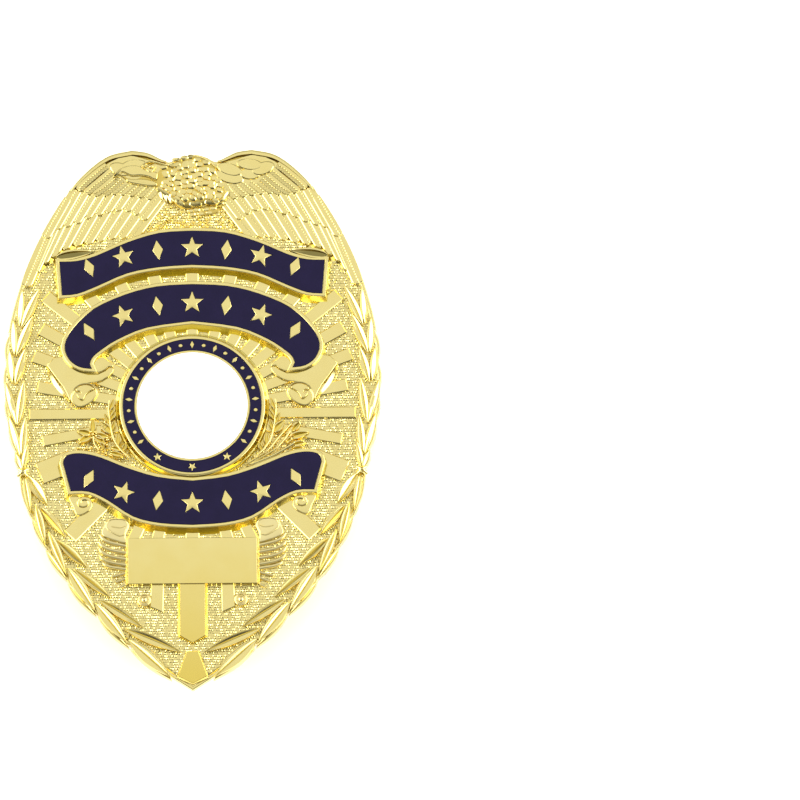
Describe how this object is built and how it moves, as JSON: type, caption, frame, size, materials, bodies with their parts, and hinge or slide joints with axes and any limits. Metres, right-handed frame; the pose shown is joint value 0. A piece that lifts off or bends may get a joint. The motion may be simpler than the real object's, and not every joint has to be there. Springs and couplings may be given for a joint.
{
  "type": "security badge",
  "caption": "Shield-shaped breast badge in cast relief with an eagle, laurel leaves, enamelled ribbons and a plain round seal seat, and a hinged pin with a locking catch on its back.",
  "frame": {"origin": "under the middle of the badge's box, on the surface that its hinge ears and catch rest on", "axes": "+Y from the bottom point to the eagle, +X to the wearer's left, +Z out of the face"},
  "size_m": [0.054, 0.08, 0.0093],
  "materials": {
    "gold_plating": "polished gold plating over a stippled and brushed casting",
    "navy_enamel": "hard enamel, polished flush",
    "white_enamel": "hard enamel, polished flush",
    "pin_metal": "drawn wire and turned findings, gold plated"
  },
  "bodies": {
    "badge": {"badge_body": "gold_plating", "ribbon_enamel_top": "navy_enamel", "ribbon_enamel_middle": "navy_enamel", "ribbon_enamel_bottom": "navy_enamel", "ring_enamel": "navy_enamel", "centre_disc": "white_enamel", "hinge_rivet": "pin_metal"},
    "pin": {"pin_wire": "pin_metal"},
    "sleeve": {"catch_sleeve": "pin_metal"}
  },
  "joints": [
    {"name": "pin_hinge", "type": "hinge", "parent": "badge", "child": "pin", "pos_m": [0, 0.0272, 0.00274], "axis": [1, 0, 0], "range_deg": [0, 90]},
    {"name": "catch_turn", "type": "hinge", "parent": "badge", "child": "sleeve", "pos_m": [0, -0.0309, 0.00304], "axis": [0, 1, 0], "range_deg": [0, 75]}
  ]
}
